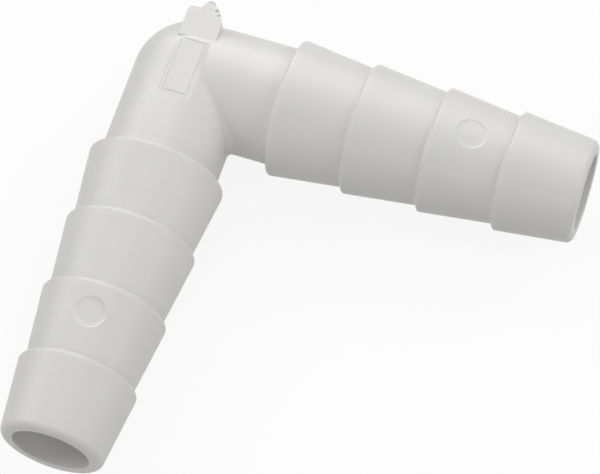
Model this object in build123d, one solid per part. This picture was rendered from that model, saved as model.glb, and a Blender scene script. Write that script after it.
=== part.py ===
from build123d import *
import os

# A right-angle connector for two soft hoses, moulded in one piece of natural plastic.
# The axes of its bores cross at the origin. One tail points along +X and the other along +Y.
# +Z is the side with the bare panel and the round marks of the ejector pins.
# All sizes are in millimetres.

# Bore, and the wall that the mouths leave round it
bore_dia = 7.6
bore_edge = 0.25
mouth_wall = 1.59
mouth_round = 0.55

# Barbs, counted from the corner to the mouth
barb_count = 4
barb_pitch = 8.0
shoulder_length = 0.37
cone_drop = 0.9
crest_step = 0.32
crest_break = 0.18
mouth_land = 0.5

# Necks between the corner and the first shoulder
first_barb_x = 10.8
first_barb_y = 10.1
first_shoulder_rise = 1.05

# Bare panel on the crown of the corner
panel_width = 3.5
panel_reach = 5.0
panel_back = 2.1
panel_depth = 0.32
panel_corner = 0.25

# Ejector pins, one on the third barb of each tail
pin_dia = 3.4
pin_barb = 2
pin_depth = 0.1
pin_from_foot_x = 3.5
pin_from_foot_y = 4.1

# Torn stub of the moulding gate at the outer corner
gate_width = 3.7
gate_thickness = 2.4
gate_step = 0.42
gate_inset = 0.7
gate_root = 2.0
gate_corner = 0.5
tear_peak = 1.05
tear_notch = 0.15
tear_slope = 0.6
tongue_y = 0.25
tongue_r = 0.55

# Radii that follow from the bore outwards
bore_r = bore_dia / 2
mouth_r = bore_r + mouth_wall
last_crest_r = mouth_r + cone_drop
first_crest_r = last_crest_r + (barb_count - 1) * crest_step
neck_r = first_crest_r - first_shoulder_rise

# Places of the panel's floor and the gate's front face
panel_floor_z = neck_r - panel_depth
gate_front_z = neck_r - gate_step
gate_back_z = gate_front_z - gate_thickness


def crest_radius(barb):
    return first_crest_r - barb * crest_step


def barb_foot(first_barb, barb):
    return first_barb + barb * barb_pitch


def tail_length(first_barb):
    return barb_foot(first_barb, barb_count) + mouth_land


def cone_radius(barb, from_foot):
    """Radius of a barb's cone at a distance from the foot of its shoulder."""
    along_cone = (from_foot - shoulder_length) / (barb_pitch - shoulder_length)
    return crest_radius(barb) - cone_drop * along_cone


def corners_at(face, points):
    """The corners of a flat outline that lie at the given points."""
    return [min(face.vertices(), key=lambda corner: (corner.center() - point).length) for point in points]


def tail(first_barb):
    """One barbed tail, turned about the X axis, with the plain neck behind its first barb."""
    length = tail_length(first_barb)
    outline, crests = [Vector(0, 0), Vector(0, neck_r)], []
    foot_r = neck_r
    for barb in range(barb_count):
        foot = barb_foot(first_barb, barb)
        crests.append(Vector(foot + shoulder_length, crest_radius(barb)))
        outline += [Vector(foot, foot_r), crests[-1]]
        foot_r = crest_radius(barb) - cone_drop
    mouth = Vector(length, mouth_r)
    outline += [mouth, Vector(length, 0)]
    half_section = make_face(Polyline(*outline, close=True))
    half_section = chamfer(corners_at(half_section, crests), crest_break)
    half_section = fillet(corners_at(half_section, [mouth]), mouth_round)
    return revolve(half_section, axis=Axis.X)


def bore(first_barb):
    """The hollow of one tail from the corner to the mouth, with the broken edge there."""
    length = tail_length(first_barb)
    outline = [
        (0, 0),
        (0, bore_r),
        (length - bore_edge, bore_r),
        (length, bore_r + bore_edge),
        (length + bore_edge, bore_r + bore_edge),
        (length + bore_edge, 0),
    ]
    return revolve(make_face(Polyline(*outline, close=True)), axis=Axis.X)


def pin_mark(body, first_barb, from_foot):
    """Shallow round mark of an ejector pin, with a floor that follows the round of the cone."""
    place = barb_foot(first_barb, pin_barb) + from_foot
    start, end = from_foot - pin_dia, from_foot + pin_dia
    left_under = Polyline(
        (place - pin_dia, 0),
        (place - pin_dia, cone_radius(pin_barb, start) - pin_depth),
        (place + pin_dia, cone_radius(pin_barb, end) - pin_depth),
        (place + pin_dia, 0),
        close=True,
    )
    pin = extrude(Pos(place, 0, bore_r) * Circle(pin_dia / 2), first_crest_r - bore_r)
    return body - (pin - revolve(make_face(left_under), axis=Axis.X))


def panel():
    """Space cut out of the crown to leave a flat floor on the corner."""
    length = panel_reach + panel_back
    middle = Pos(panel_reach - length / 2, 0, panel_floor_z)
    return extrude(middle * RectangleRounded(length, panel_width, panel_corner), neck_r)


def gate_stub():
    """Flat tab that the gate leaves, torn across its end, with a round tongue drawn out near its middle."""
    half = gate_width / 2
    torn_x = gate_inset - neck_r
    slope_top = (torn_x + tear_slope, half)
    notch = (torn_x - tear_notch, tongue_y - tongue_r)
    tab = make_face(Polyline((torn_x, -half), (-gate_root, -half), (-gate_root, half), slope_top, notch, close=True))
    tab = fillet(corners_at(tab, [Vector(torn_x, -half)]), gate_corner)
    tip = Pos(torn_x - tear_peak + tongue_r, tongue_y) * Circle(tongue_r)
    tongue = make_hull([*tip.edges(), Line(slope_top, notch)])
    return extrude(Pos(0, 0, gate_back_z) * (tab + tongue), gate_thickness, dir=(0, 0, 1))


def hose_elbow():
    """The whole moulding, with its hollow cut last so that nothing is left standing in it."""
    tail_x = pin_mark(tail(first_barb_x), first_barb_x, pin_from_foot_x)
    tail_y = Rot(0, 0, 90) * pin_mark(tail(first_barb_y), first_barb_y, pin_from_foot_y)
    body = tail_x + tail_y + Sphere(neck_r) - panel() + gate_stub()
    body = body - bore(first_barb_x) - Rot(0, 0, 90) * bore(first_barb_y) - Sphere(bore_r)
    return body.solid()


os.makedirs("parts", exist_ok=True)
export_step(hose_elbow(), "parts/hose_elbow.step")
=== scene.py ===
import math

import bmesh
import bpy
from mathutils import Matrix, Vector, noise

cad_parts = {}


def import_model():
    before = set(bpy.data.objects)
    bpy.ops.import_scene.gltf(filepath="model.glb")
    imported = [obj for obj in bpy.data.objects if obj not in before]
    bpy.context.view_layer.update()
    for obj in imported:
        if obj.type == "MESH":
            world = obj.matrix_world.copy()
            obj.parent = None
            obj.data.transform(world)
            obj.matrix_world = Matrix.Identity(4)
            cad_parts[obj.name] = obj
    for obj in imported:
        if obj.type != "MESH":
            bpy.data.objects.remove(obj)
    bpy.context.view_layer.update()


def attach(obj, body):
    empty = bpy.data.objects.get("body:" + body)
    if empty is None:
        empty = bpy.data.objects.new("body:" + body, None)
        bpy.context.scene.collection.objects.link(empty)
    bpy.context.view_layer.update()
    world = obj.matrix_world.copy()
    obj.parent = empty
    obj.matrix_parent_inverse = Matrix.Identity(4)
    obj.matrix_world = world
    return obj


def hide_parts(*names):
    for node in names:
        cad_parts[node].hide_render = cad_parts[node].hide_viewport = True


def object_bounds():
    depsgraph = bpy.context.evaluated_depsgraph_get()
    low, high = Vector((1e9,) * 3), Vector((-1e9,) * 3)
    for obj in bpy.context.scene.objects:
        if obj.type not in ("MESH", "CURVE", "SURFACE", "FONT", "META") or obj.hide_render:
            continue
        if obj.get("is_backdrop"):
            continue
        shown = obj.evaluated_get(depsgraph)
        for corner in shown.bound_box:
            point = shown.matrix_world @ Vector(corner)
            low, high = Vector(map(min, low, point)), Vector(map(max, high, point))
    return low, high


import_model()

# A right-angle hose connector in milky plastic, dressed for a studio picture.
# The barbed tails are turned by a Geometry Nodes tree from the CAD part's main sizes.
# Sizes are in millimetres here and are made metres where a mesh is built.
# The camera and the lamps are placed in metres.

MM = 0.001

# Bore and mouth
BORE_R = 3.8
BORE_DRAFT = 0.25
LIP_ROUND = 0.12
MOUTH_WALL = 1.59
MOUTH_R = BORE_R + MOUTH_WALL
MOUTH_ROUND = 0.8
MOUTH_LAND = 0.5

# Barbs, counted from the corner to the mouth
BARBS = 4
BARB_PITCH = 8.0
SHOULDER = 0.37
CONE_DROP = 0.9
CREST_STEP = 0.32
FIRST_CREST_R = MOUTH_R + CONE_DROP + (BARBS - 1) * CREST_STEP
CREST_ROUND = 0.34
FOOT_ROUND = 0.16

# Necks and corner
FIRST_SHOULDER_RISE = 1.05
NECK_R = FIRST_CREST_R - FIRST_SHOULDER_RISE
NECK_X = 10.8
NECK_Y = 10.1
CREASE_ROUND = 0.7

# Fineness of the skin
SEGMENTS = 192
NECK_RINGS = 22
BORE_RINGS = 22
ROUNDING_STEPS = 8
WELD = 0.001
SHARP_ANGLE = 28

# Bare panel on the crown of the corner: the profile goes outwards from its middle, as (spread, lift)
PANEL_DEPTH = 0.32
PANEL_FLOOR = NECK_R - PANEL_DEPTH
PANEL_FAR = 5.0
PANEL_NEAR = -2.1
PANEL_WIDTH = 3.5
PANEL_CORNER = 0.25
PANEL_GROOVE = ((-0.62, 0.0), (-0.54, -0.07), (-0.4, -0.07), (-0.32, 0.0))
PANEL_EDGE = ((-0.08, 0.0), (0.0, 0.05), (0.12, 0.4), (0.12, 1.5))

# Round marks of the ejector pins, on the third barb of each tail: the profile is (share of PIN_R, lift)
PIN_BARB = 2
PIN_R = 1.7
PIN_DEPTH = 0.1
PIN_TILT = 0.6
PIN_STEPS = 72
PIN_PROFILE = ((0.02, 0.0), (0.3, 0.0), (0.6, 0.0), (0.86, 0.0), (0.9, 0.03), (1.04, 0.2), (1.04, 1.0))
PIN_FROM_FOOT_X = 3.5
PIN_FROM_FOOT_Y = 4.1

# Torn stub of the moulding gate
GATE_STEP = 0.42
GATE_THICKNESS = 2.4
GATE_HALF = 1.85
GATE_FRONT = NECK_R - GATE_STEP
GATE_BACK = GATE_FRONT - GATE_THICKNESS
GATE_ROOT = -2.0
GATE_FLARE = 0.5
GATE_VOXEL = 0.07
TORN_X = -5.62
TORN_CORNER = 0.5
TORN_FADE = 0.8
TONGUE_TIP = -6.72
TONGUE_Y = 0.25
TONGUE_R = 0.55

# Curl that the tear left along the slope of the stub
GROOVE_START = Vector((-6.33, 0.45, 5.8))
GROOVE_END = Vector((-5.3, 1.4, 5.8))
GROOVE_BOW = Vector((-0.1, 0.1, 0.0))
GROOVE_DEPTH = 0.14
GROOVE_WIDTH = 0.2

# Look of the plastic
NATURAL = (0.690, 0.6845, 0.667, 1.0)
WHITE = (1.0, 1.0, 1.0, 1.0)

# Studio, in metres
FLOOR_HALF = 1.5
FLOOR_TONE = 0.35
FLOOR_TONE_SEEN = 0.95
FLOOR_LIFT = 0.88
WORLD_LIGHT = 0.46
OBJECT_MIDDLE = Vector((0.014, 0.016, 0.0))
LAMPS = (
    ("above_left", (-0.55, -0.6, 0.58), 0.45),
    ("above_right", (-0.7, 0.5, 0.5), 0.8),
    ("left", (0.1, -0.85, 0.5), 0.83),
    ("right", (-0.1, 0.85, 0.5), 0.67),
    ("front", (0.85, 0.2, 0.5), 0.67),
)
SHEEN_LAMPS = (
    ("sheen_above", (-0.864, -0.275, 0.42), 2.5, 0.4),
    ("sheen_high", (-0.5, -0.1, 0.86), 1.3, 0.4),
    ("sheen_corner", (-0.6, -0.7, 0.4), 2.2, 0.45),
    ("sheen_left", (-0.1, -0.9, 0.4), 0.9, 0.45),
)

# Camera of the photograph
CAMERA_PLACE = (0.161711, 0.073728, 0.340976)
CAMERA_TURN = (24.9457, 1.3622, 108.2567)
CAMERA_LENS = 221.79
CAMERA_SENSOR = 36


class Wiring:
    """Adds nodes to one tree. A value is a number, a vector or an output of another node."""

    def __init__(self, tree):
        self.tree = tree
        self.count = 0

    def feed(self, socket, value):
        if isinstance(value, bpy.types.NodeSocket):
            self.tree.links.new(value, socket)
        else:
            socket.default_value = value

    def node(self, kind, *values, **settings):
        node = self.tree.nodes.new(kind)
        node.location = (220 * (self.count // 5), -200 * (self.count % 5))
        self.count += 1
        for name, setting in settings.items():
            setattr(node, name, setting)
        for socket, value in zip([s for s in node.inputs if s.enabled], values):
            self.feed(socket, value)
        return node

    def fill(self, node, values):
        """Feeds a node's inputs by their names."""
        for name, value in values.items():
            self.feed(node.inputs[name], value)
        return node

    def math(self, operation, *values):
        return self.node("ShaderNodeMath", *values, operation=operation).outputs[0]

    def choose(self, test, if_false, if_true):
        return self.node("GeometryNodeSwitch", test, if_false, if_true, input_type="FLOAT").outputs[0]

    def pick(self, index, *values):
        """The value whose place in the row is index."""
        node = self.node("GeometryNodeIndexSwitch", data_type="FLOAT")
        for _ in range(len(values) - 2):
            node.index_switch_items.new()
        self.feed(node.inputs["Index"], index)
        for place, value in enumerate(values):
            self.feed(node.inputs[str(place)], value)
        return node.outputs[0]

    def vector(self, x, y, z):
        return self.node("ShaderNodeCombineXYZ", x, y, z).outputs[0]

    def parts(self, vector):
        return self.node("ShaderNodeSeparateXYZ", vector).outputs


def new_tree(name, kind, inputs, outputs):
    """A node tree with named sockets. A row is (name, type of value) or (name, type of value, value)."""
    tree = bpy.data.node_groups.new(name, kind)
    for in_out, rows in (("INPUT", inputs), ("OUTPUT", outputs)):
        for label, value_type, *value in rows:
            socket_type = "NodeSocket" + value_type
            socket = tree.interface.new_socket(name=label, in_out=in_out, socket_type=socket_type)
            if value:
                socket.default_value = value[0]
    return tree, Wiring(tree)


def blank_wiring(owner):
    """The wiring of a material or world, emptied of its first nodes."""
    owner.use_nodes = True
    owner.node_tree.nodes.clear()
    return Wiring(owner.node_tree)


def barbed_tail_tree():
    """A hollow barbed tail along X, turned from its profile and mitred where it meets its twin."""
    sizes = [
        ("Neck Length", NECK_X), ("Neck Radius", NECK_R), ("Crease Rounding", CREASE_ROUND),
        ("Barb Pitch", BARB_PITCH), ("Shoulder Length", SHOULDER), ("First Crest Radius", FIRST_CREST_R),
        ("Crest Step", CREST_STEP), ("Cone Drop", CONE_DROP), ("Crest Rounding", CREST_ROUND),
        ("Foot Rounding", FOOT_ROUND), ("Mouth Radius", MOUTH_R), ("Mouth Land", MOUTH_LAND),
        ("Mouth Rounding", MOUTH_ROUND), ("Bore Radius", BORE_R), ("Bore Draft", BORE_DRAFT),
        ("Lip Rounding", LIP_ROUND),
    ]
    inputs = [(name, "Float", size * MM) for name, size in sizes]
    inputs += [("Barb Count", "Int", BARBS), ("Neck Rings", "Int", NECK_RINGS)]
    inputs += [("Bore Rings", "Int", BORE_RINGS), ("Segments", "Int", SEGMENTS), ("Along Y", "Bool", False)]
    tree, w = new_tree("barbed tail", "GeometryNodeTree", inputs, [("Mesh", "Geometry")])
    given = w.node("NodeGroupInput").outputs

    # Which stretch of the profile a point belongs to: neck, barbs, mouth or bore
    barb_points = w.math("MULTIPLY", given["Barb Count"], 4)
    mouth_start = w.math("ADD", given["Neck Rings"], barb_points)
    bore_start = w.math("ADD", mouth_start, 2)
    total = w.math("ADD", bore_start, given["Bore Rings"])
    index = w.node("GeometryNodeInputIndex").outputs[0]
    starts = (given["Neck Rings"], mouth_start, bore_start)
    after = [w.math("GREATER_THAN", index, w.math("SUBTRACT", start, 0.5)) for start in starts]
    stretch = w.math("ADD", w.math("ADD", after[0], after[1]), after[2])

    # Neck: rings crowd towards the crease
    along_neck = w.math("POWER", w.math("DIVIDE", index, given["Neck Rings"]), 2)
    neck_x = w.math("MULTIPLY", along_neck, given["Neck Length"])

    # Barbs: four points each, at the foot, the crest and two places on the cone
    barb_index = w.math("SUBTRACT", index, given["Neck Rings"])
    barb = w.math("FLOOR", w.math("DIVIDE", w.math("ADD", barb_index, 0.1), 4))
    corner = w.math("ROUND", w.math("SUBTRACT", barb_index, w.math("MULTIPLY", barb, 4)))
    foot_x = w.math("MULTIPLY_ADD", barb, given["Barb Pitch"], given["Neck Length"])
    crest_r = w.math("SUBTRACT", given["First Crest Radius"], w.math("MULTIPLY", barb, given["Crest Step"]))
    cone_end_r = w.math("SUBTRACT", w.math("ADD", crest_r, given["Crest Step"]), given["Cone Drop"])
    foot_r = w.choose(w.math("LESS_THAN", barb, 0.5), cone_end_r, given["Neck Radius"])
    last = w.math("GREATER_THAN", barb, w.math("SUBTRACT", given["Barb Count"], 1.5))
    cone_length = w.math("SUBTRACT", given["Barb Pitch"], given["Shoulder Length"])
    cone_length = w.math("MULTIPLY_ADD", last, given["Mouth Land"], cone_length)
    on_cone = w.pick(corner, 0.0, 0.0, 0.08, 0.92)
    crest_x = w.math("ADD", foot_x, given["Shoulder Length"])
    cone_x = w.math("ADD", crest_x, w.math("MULTIPLY", on_cone, cone_length))
    cone_r = w.math("SUBTRACT", crest_r, w.math("MULTIPLY", on_cone, given["Cone Drop"]))
    at_foot = w.math("LESS_THAN", corner, 0.5)
    barb_x = w.choose(at_foot, cone_x, foot_x)
    barb_r = w.choose(at_foot, cone_r, foot_r)

    # Mouth: outer rim, then the lip of the bore, which widens a little towards it
    mouth = w.math("SUBTRACT", index, mouth_start)
    barbs_length = w.math("MULTIPLY", given["Barb Count"], given["Barb Pitch"])
    length = w.math("ADD", w.math("ADD", given["Neck Length"], barbs_length), given["Mouth Land"])
    lip_r = w.math("ADD", given["Bore Radius"], given["Bore Draft"])
    mouth_r = w.pick(mouth, given["Mouth Radius"], lip_r)

    # Bore: back to the corner
    bore_rings = w.math("SUBTRACT", given["Bore Rings"], 1)
    back = w.math("SUBTRACT", 1.0, w.math("DIVIDE", w.math("SUBTRACT", index, bore_start), bore_rings))
    bore_x = w.math("MULTIPLY", w.math("POWER", back, 2), given["Neck Length"])

    profile_x = w.pick(stretch, neck_x, barb_x, length, bore_x)
    profile_r = w.pick(stretch, given["Neck Radius"], barb_r, mouth_r, given["Bore Radius"])
    barb_rounding = w.pick(corner, given["Foot Rounding"], given["Crest Rounding"], 0.0, 0.0)
    mouth_rounding = w.pick(mouth, given["Mouth Rounding"], given["Lip Rounding"])
    rounding = w.pick(stretch, 0.0, barb_rounding, mouth_rounding, 0.0)

    line = w.node("GeometryNodeMeshLine", total).outputs[0]
    line = w.node("GeometryNodeSetPosition", line, True, w.vector(profile_x, profile_r, 0.0)).outputs[0]
    curve = w.node("GeometryNodeMeshToCurve", line).outputs[0]
    fillet = w.node("GeometryNodeFilletCurve", mode="POLY")
    w.fill(fillet, {"Curve": curve, "Radius": rounding, "Limit Radius": True, "Count": ROUNDING_STEPS})
    profile = fillet.outputs[0]

    # Turning: a grid has a row for each point of the profile and a column for each step round the axis
    rings = w.node("GeometryNodeAttributeDomainSize", profile, component="CURVE").outputs["Point Count"]
    columns = w.math("ADD", given["Segments"], 1)
    grid = w.node("GeometryNodeMeshGrid", 1.0, 1.0, rings, columns).outputs[0]
    row = w.math("FLOOR", w.math("DIVIDE", w.math("ADD", index, 0.5), columns))
    step = w.math("SUBTRACT", index, w.math("MULTIPLY", row, columns))
    position = w.node("GeometryNodeInputPosition").outputs[0]
    at_row = w.node("GeometryNodeSampleIndex", profile, position, row, data_type="FLOAT_VECTOR").outputs[0]
    along, radius, _ = w.parts(at_row)
    angle = w.math("MULTIPLY", w.math("DIVIDE", step, given["Segments"]), 2 * math.pi)
    across = w.math("MULTIPLY", radius, w.math("COSINE", angle))
    up = w.math("MULTIPLY", radius, w.math("SINE", angle))

    # Mitre: the neck starts on the plane between the tails, with the crease rounded outside and sharp inside
    inward = w.math("MAXIMUM", across, 0.0)
    both_radii = w.math("ADD", given["Neck Radius"], given["Bore Radius"])
    outside = w.math("GREATER_THAN", radius, w.math("MULTIPLY", both_radii, 0.5))
    fade = w.math("DIVIDE", inward, given["Neck Radius"])
    crease = w.math("MULTIPLY", w.math("MULTIPLY", fade, outside), given["Crease Rounding"])
    start = w.math("MULTIPLY_ADD", crease, 1 - math.sqrt(0.5), inward)
    left = w.math("MAXIMUM", w.math("SUBTRACT", 1.0, w.math("DIVIDE", along, given["Neck Length"])), 0.0)
    mitred = w.math("MULTIPLY_ADD", start, left, along)
    to_round = w.math("MAXIMUM", w.math("SUBTRACT", crease, w.math("SUBTRACT", mitred, inward)), 0.0)
    crease_square = w.math("MULTIPLY", crease, crease)
    rounded = w.math("SQRT", w.math("SUBTRACT", crease_square, w.math("MULTIPLY", to_round, to_round)))
    lifted = w.math("ADD", across, w.math("SUBTRACT", crease, rounded))
    tube = w.node("GeometryNodeSetPosition", grid, True, w.vector(mitred, lifted, up)).outputs[0]

    # The twin tail is the mirror image in the mitre plane. That turns its faces outwards, and the first
    # tail's faces are flipped.
    x, y, z = w.parts(position)
    swapped = w.node("GeometryNodeSetPosition", tube, given["Along Y"], w.vector(y, x, z)).outputs[0]
    along_x = w.node("FunctionNodeBooleanMath", given["Along Y"], operation="NOT").outputs[0]
    flipped = w.node("GeometryNodeFlipFaces", swapped, along_x).outputs[0]
    w.fill(w.node("NodeGroupOutput"), {"Mesh": flipped})
    return tree


def hose_elbow_tree(tail):
    """Both tails, the round outer corner and the round pocket in it, joined to one closed skin."""
    sizes = (("Neck X", NECK_X), ("Neck Y", NECK_Y), ("Neck Radius", NECK_R), ("Bore Radius", BORE_R))
    inputs = [(name, "Float", size * MM) for name, size in sizes]
    inputs += [("Segments", "Int", SEGMENTS), ("Plastic", "Material")]
    tree, w = new_tree("hose elbow", "GeometryNodeTree", inputs, [("Mesh", "Geometry")])
    given = w.node("NodeGroupInput").outputs
    x, y, _ = w.parts(w.node("GeometryNodeInputPosition").outputs[0])
    join = w.node("GeometryNodeJoinGeometry")

    for neck, along_y in (("Neck X", False), ("Neck Y", True)):
        one = w.node("GeometryNodeGroup", node_tree=tail)
        w.fill(one, {"Neck Length": given[neck], "Along Y": along_y})
        w.fill(one, {name: given[name] for name in ("Neck Radius", "Bore Radius", "Segments")})
        w.feed(join.inputs[0], one.outputs[0])

    outer_corner = w.math("MULTIPLY", w.math("LESS_THAN", x, 0.0), w.math("LESS_THAN", y, 0.0))
    elsewhere = w.math("SUBTRACT", 1.0, outer_corner)
    rings = w.math("DIVIDE", given["Segments"], 2)
    for radius, inside in (("Neck Radius", False), ("Bore Radius", True)):
        ball = w.node("GeometryNodeMeshUVSphere", given["Segments"], rings, given[radius]).outputs[0]
        quarter = w.node("GeometryNodeDeleteGeometry", ball, elsewhere, domain="FACE").outputs[0]
        w.feed(join.inputs[0], w.node("GeometryNodeFlipFaces", quarter, inside).outputs[0])

    skin = w.node("GeometryNodeMergeByDistance", join.outputs[0], True, WELD * MM).outputs[0]
    real = w.node("GeometryNodeRealizeInstances", skin).outputs[0]
    coated = w.node("GeometryNodeSetMaterial", real, True, given["Plastic"]).outputs[0]
    w.fill(w.node("NodeGroupOutput"), {"Mesh": coated})
    return tree


def plain_mesh(obj):
    """Turns an object's modifiers into a plain mesh."""
    evaluated = obj.evaluated_get(bpy.context.evaluated_depsgraph_get())
    mesh = bpy.data.meshes.new_from_object(evaluated)
    obj.modifiers.clear()
    obj.data = mesh
    return obj


def new_object(name, mesh):
    obj = bpy.data.objects.new(name, mesh)
    bpy.context.scene.collection.objects.link(obj)
    return obj


def grown(name, tree, **values):
    """An object made by a Geometry Nodes tree, as a plain mesh."""
    obj = new_object(name, bpy.data.meshes.new(name))
    modifier = obj.modifiers.new("shape", "NODES")
    modifier.node_group = tree
    for socket in tree.interface.items_tree:
        if socket.in_out == "INPUT" and socket.name in values:
            modifier[socket.identifier] = values[socket.name]
    return plain_mesh(obj)


def stacked(name, loops):
    """A closed solid through loops of points of equal count, from the lowest to the highest."""
    mesh = bmesh.new()
    rows = [[mesh.verts.new(Vector(point) * MM) for point in loop] for loop in loops]
    count = len(rows[0])
    for lower, upper in zip(rows, rows[1:]):
        for i in range(count):
            j = (i + 1) % count
            mesh.faces.new((lower[i], lower[j], upper[j], upper[i]))
    mesh.faces.new(reversed(rows[0]))
    mesh.faces.new(rows[-1])
    bmesh.ops.recalc_face_normals(mesh, faces=mesh.faces)
    data = bpy.data.meshes.new(name)
    mesh.to_mesh(data)
    mesh.free()
    return new_object(name, data)


def arc(centre, radius, first, step, count):
    """Points on an arc, from the angle first and on by equal steps, both in degrees."""
    turns = [math.radians(first + step * i) for i in range(count)]
    return [(centre[0] + radius * math.cos(turn), centre[1] + radius * math.sin(turn)) for turn in turns]


def panel_loop(spread, z):
    """Outline of the bare panel at height z, wider than its floor by spread on each side."""
    corner = max(PANEL_CORNER + spread, 0.02)
    far, side = PANEL_FAR + spread - corner, PANEL_WIDTH / 2 + spread - corner
    near = PANEL_NEAR - spread + corner
    points = []
    for centre, first in (((far, side), 0), ((near, side), 90), ((near, -side), 180), ((far, -side), 270)):
        points += arc(centre, corner, first, 15, 7)
    return [(x, y, z) for x, y in points]


def combine(obj, tool, operation):
    """Joins or cuts obj with tool, and removes the tool."""
    modifier = obj.modifiers.new("with " + tool.name, "BOOLEAN")
    modifier.object = tool
    modifier.operation = operation
    modifier.solver = "MANIFOLD"
    plain_mesh(obj)
    bpy.data.objects.remove(tool)


def gate_outline(flare):
    """Outline of the torn tab seen from above, from its square root round the tear and back."""
    square = [(GATE_ROOT, -GATE_HALF - flare), (TORN_X + TORN_CORNER, -GATE_HALF)]
    corner = arc((TORN_X + TORN_CORNER, TORN_CORNER - GATE_HALF), TORN_CORNER, 255, -15, 6)
    notch = [(TORN_X - 0.05, -0.9), (TORN_X - 0.12, -0.5)]
    tongue = arc((TONGUE_TIP + TONGUE_R, TONGUE_Y), TONGUE_R, 262, -12.5, 12)
    slope = [(-5.78, 1.38), (-5.2, 1.76), (-4.5, 2.0 + 0.5 * flare), (GATE_ROOT, 2.2 + flare)]
    return square + corner + notch + tongue + slope


def gate_stub():
    """The torn tab, remeshed finely, softened at its edges and roughened where it broke off."""
    loops = []
    for share in (0.0, 0.5, 1.0):
        z = GATE_BACK + share * (GATE_FRONT - GATE_BACK)
        loops.append([(x, y, z) for x, y in gate_outline(GATE_FLARE * (1.0 - share))])
    stub = stacked("gate_stub", loops)
    remesh = stub.modifiers.new("fine", "REMESH")
    remesh.mode = "VOXEL"
    remesh.voxel_size = GATE_VOXEL * MM
    soften = stub.modifiers.new("soften", "SMOOTH")
    soften.factor = 0.5
    soften.iterations = 3
    plain_mesh(stub)
    for vertex in stub.data.vertices:
        place = vertex.co / MM
        torn = min(max((TORN_X + 0.7 - place.x) / TORN_FADE, 0.0), 1.0)
        stretched = Vector((place.x * 2.1, place.y * 2.1, place.z * 1.3))
        coarse = noise.noise(stretched + Vector((3.1, 7.7, 1.9)))
        fine = noise.noise(place * 6.5 + Vector((9.2, 2.4, 5.5)))
        rough = (0.05 * coarse + 0.02 * fine) * torn
        groove = GROOVE_DEPTH * math.exp(-(distance_to_groove(place) / GROOVE_WIDTH) ** 2)
        vertex.co += vertex.normal * (rough - groove) * MM
    return stub


def distance_to_groove(place):
    """Distance from the curl that the tear left along its slope on the front of the tab."""
    line = GROOVE_END - GROOVE_START
    share = min(max((place - GROOVE_START).dot(line) / line.length_squared, 0.0), 1.0)
    nearest = GROOVE_START + line * share + GROOVE_BOW * math.sin(math.pi * share)
    return (place - nearest).length


def cone_radius(from_foot):
    """Radius of the barb that carries the pin mark, at a distance from its foot."""
    crest = FIRST_CREST_R - PIN_BARB * CREST_STEP
    return crest - CONE_DROP * (from_foot - SHOULDER) / (BARB_PITCH - SHOULDER)


def pin_marks(body):
    """Shallow round marks of the ejector pins: the floor follows the cone, a little deeper on its +Y side."""
    turns = [2 * math.pi * i / PIN_STEPS for i in range(PIN_STEPS)]
    for neck, from_foot, along_y in ((NECK_X, PIN_FROM_FOOT_X, False), (NECK_Y, PIN_FROM_FOOT_Y, True)):
        place = neck + PIN_BARB * BARB_PITCH + from_foot
        loops = []
        for share, lift in PIN_PROFILE:
            loop = []
            for turn in turns:
                along, across = share * PIN_R * math.cos(turn), share * PIN_R * math.sin(turn)
                tilt = PIN_TILT * (along if along_y else across) / PIN_R
                radius = cone_radius(from_foot + along) - PIN_DEPTH * (1.0 + tilt)
                point = (place + along, across, math.sqrt(radius ** 2 - across ** 2) + lift)
                loop.append((point[1], point[0], point[2]) if along_y else point)
            loops.append(loop)
        combine(body, stacked("pin_space", loops), "DIFFERENCE")


def bare_panel(body):
    """Flat bare panel on the crown, with a fine groove inside its border."""
    loops = [panel_loop(spread, PANEL_FLOOR + lift) for spread, lift in PANEL_GROOVE + PANEL_EDGE]
    combine(body, stacked("panel_space", loops), "DIFFERENCE")


def noise_layer(w, coordinates, per_mm, detail):
    """Noise through the plastic, with its scale counted to the millimetre."""
    layer = w.node("ShaderNodeTexNoise", noise_dimensions="3D")
    return w.fill(layer, {"Vector": coordinates, "Scale": per_mm / MM, "Detail": detail}).outputs["Fac"]


def milky_tree():
    """Cloudy colour and gloss of a natural plastic, the same all through."""
    inputs = [("Coordinates", "Vector"), ("Color", "Color"), ("Cloud", "Float"), ("Gloss", "Float")]
    outputs = [("Color", "Color"), ("Roughness", "Float")]
    tree, w = new_tree("milky plastic", "ShaderNodeTree", inputs, outputs)
    given = w.node("NodeGroupInput").outputs
    clouds = w.math("SUBTRACT", noise_layer(w, given["Coordinates"], 0.16, 3.0), 0.5)
    factor = w.math("MULTIPLY_ADD", clouds, given["Cloud"], 1.0)
    scaled = w.node("ShaderNodeVectorMath", given["Color"], operation="SCALE")
    w.fill(scaled, {"Scale": factor})
    handled = w.math("SUBTRACT", noise_layer(w, given["Coordinates"], 0.45, 4.0), 0.5)
    gloss = w.math("ADD", given["Gloss"], w.math("MULTIPLY", handled, 0.16))
    w.fill(w.node("NodeGroupOutput"), {"Color": scaled.outputs[0], "Roughness": gloss})
    return tree


def mould_skin_tree():
    """Height of the fine ripple that a mould leaves on the surface."""
    inputs = [("Coordinates", "Vector"), ("Ripple", "Float"), ("Grain", "Float")]
    tree, w = new_tree("mould skin", "ShaderNodeTree", inputs, [("Height", "Float")])
    given = w.node("NodeGroupInput").outputs
    heights = []
    for per_mm, detail, weight in ((0.5, 1.0, "Ripple"), (5.0, 2.0, "Grain")):
        layer = noise_layer(w, given["Coordinates"], per_mm, detail)
        heights.append(w.math("MULTIPLY", layer, given[weight]))
    w.fill(w.node("NodeGroupOutput"), {"Height": w.math("ADD", *heights)})
    return tree


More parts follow.
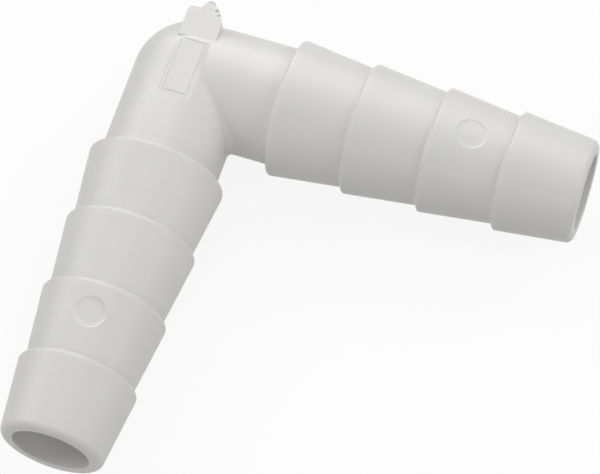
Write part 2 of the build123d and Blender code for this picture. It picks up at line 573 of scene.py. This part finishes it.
def natural_plastic():
    """Milky plastic with cloud in its colour, uneven gloss and a fine ripple on its surface."""
    material = bpy.data.materials.new("natural plastic")
    w = blank_wiring(material)
    place = w.node("ShaderNodeTexCoord").outputs["Object"]
    milky = w.node("ShaderNodeGroup", node_tree=milky_tree())
    w.fill(milky, {"Coordinates": place, "Color": NATURAL, "Cloud": 0.06, "Gloss": 0.42})
    skin = w.node("ShaderNodeGroup", node_tree=mould_skin_tree())
    w.fill(skin, {"Coordinates": place, "Ripple": 1.0, "Grain": 0.02})
    relief = w.node("ShaderNodeBump")
    w.fill(relief, {"Strength": 1.0, "Distance": 0.012 * MM, "Height": skin.outputs["Height"]})
    shader = w.node("ShaderNodeBsdfPrincipled")
    w.fill(shader, {
        "Base Color": milky.outputs["Color"],
        "Roughness": milky.outputs["Roughness"],
        "Normal": relief.outputs[0],
        "IOR": 1.49,
        "Specular IOR Level": 0.3,
        "Subsurface Weight": 0.2,
        "Subsurface Radius": (1.0, 0.93, 0.8),
        "Subsurface Scale": 0.5 * MM,
    })
    w.fill(w.node("ShaderNodeOutputMaterial"), {"Surface": shader.outputs[0]})
    return material


def seen_or_mirrored(w):
    """1 where a ray shows the surface, directly, in gloss or through glass, and 0 where it carries light."""
    path = w.node("ShaderNodeLightPath").outputs
    indirect = w.math("MAXIMUM", path["Is Glossy Ray"], path["Is Transmission Ray"])
    return w.math("MAXIMUM", path["Is Camera Ray"], indirect)


def floor():
    """Plain pale floor that reads as white and keeps the object's soft shadow."""
    mesh = bmesh.new()
    bmesh.ops.create_grid(mesh, x_segments=1, y_segments=1, size=FLOOR_HALF)
    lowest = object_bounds()[0][2]
    bmesh.ops.translate(mesh, verts=mesh.verts, vec=(0, 0, lowest))
    data = bpy.data.meshes.new("floor")
    mesh.to_mesh(data)
    mesh.free()
    obj = new_object("floor", data)
    material = bpy.data.materials.new("pale floor")
    w = blank_wiring(material)
    seen = seen_or_mirrored(w)
    pale = w.math("MULTIPLY_ADD", seen, FLOOR_TONE_SEEN - FLOOR_TONE, FLOOR_TONE)
    diffuse = w.node("ShaderNodeBsdfDiffuse", w.vector(pale, pale, pale)).outputs[0]
    glow = w.node("ShaderNodeEmission", WHITE, 1.0).outputs[0]
    lift = w.math("MULTIPLY", seen, FLOOR_LIFT)
    surface = w.node("ShaderNodeMixShader", lift, diffuse, glow).outputs[0]
    w.fill(w.node("ShaderNodeOutputMaterial"), {"Surface": surface})
    data.materials.append(material)
    obj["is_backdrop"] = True


def world():
    """Even studio light from all round, seen as white."""
    scene = bpy.context.scene
    scene.world = bpy.data.worlds.new("studio")
    w = blank_wiring(scene.world)
    strength = w.math("MULTIPLY_ADD", seen_or_mirrored(w), 1.0 - WORLD_LIGHT, WORLD_LIGHT)
    light = w.node("ShaderNodeBackground", WHITE, strength).outputs[0]
    w.fill(w.node("ShaderNodeOutputWorld"), {"Surface": light})


def lamp(name, direction, power, distance=0.65, size=0.3, sheen=False):
    """A soft round lamp aimed at the middle of the object. One for the sheen shows only in the gloss."""
    data = bpy.data.lights.new(name, "AREA")
    data.shape = "DISK"
    data.size = size
    data.energy = power
    obj = bpy.data.objects.new(name, data)
    towards = Vector(direction).normalized()
    obj.location = OBJECT_MIDDLE + distance * towards
    obj.rotation_euler = towards.to_track_quat("Z", "Y").to_euler()
    obj.visible_diffuse = not sheen
    bpy.context.scene.collection.objects.link(obj)


def camera():
    """The photograph's view of the object."""
    data = bpy.data.cameras.new("camera")
    data.sensor_width = CAMERA_SENSOR
    data.lens = CAMERA_LENS
    data.clip_start = 0.01
    obj = bpy.data.objects.new("camera", data)
    obj.location = CAMERA_PLACE
    obj.rotation_euler = [math.radians(angle) for angle in CAMERA_TURN]
    bpy.context.scene.collection.objects.link(obj)
    bpy.context.scene.camera = obj


natural = natural_plastic()
elbow = grown("dressed_elbow", hose_elbow_tree(barbed_tail_tree()), Plastic=natural)
pin_marks(elbow)
bare_panel(elbow)
combine(elbow, gate_stub(), "UNION")
elbow.data.shade_smooth()
elbow.data.set_sharp_from_angle(angle=math.radians(SHARP_ANGLE))
elbow.data.materials.clear()
elbow.data.materials.append(natural)

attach(elbow, "root")
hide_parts("hose_elbow")

floor()
world()
for name, direction, power in LAMPS:
    lamp(name, direction, power)
lamp("near", (-0.164, -0.036, 0.15), 0.065, distance=0.225, size=0.12)
for name, direction, power, size in SHEEN_LAMPS:
    lamp(name, direction, power, size=size, sheen=True)
camera()
bpy.context.scene.view_settings.view_transform = "Standard"
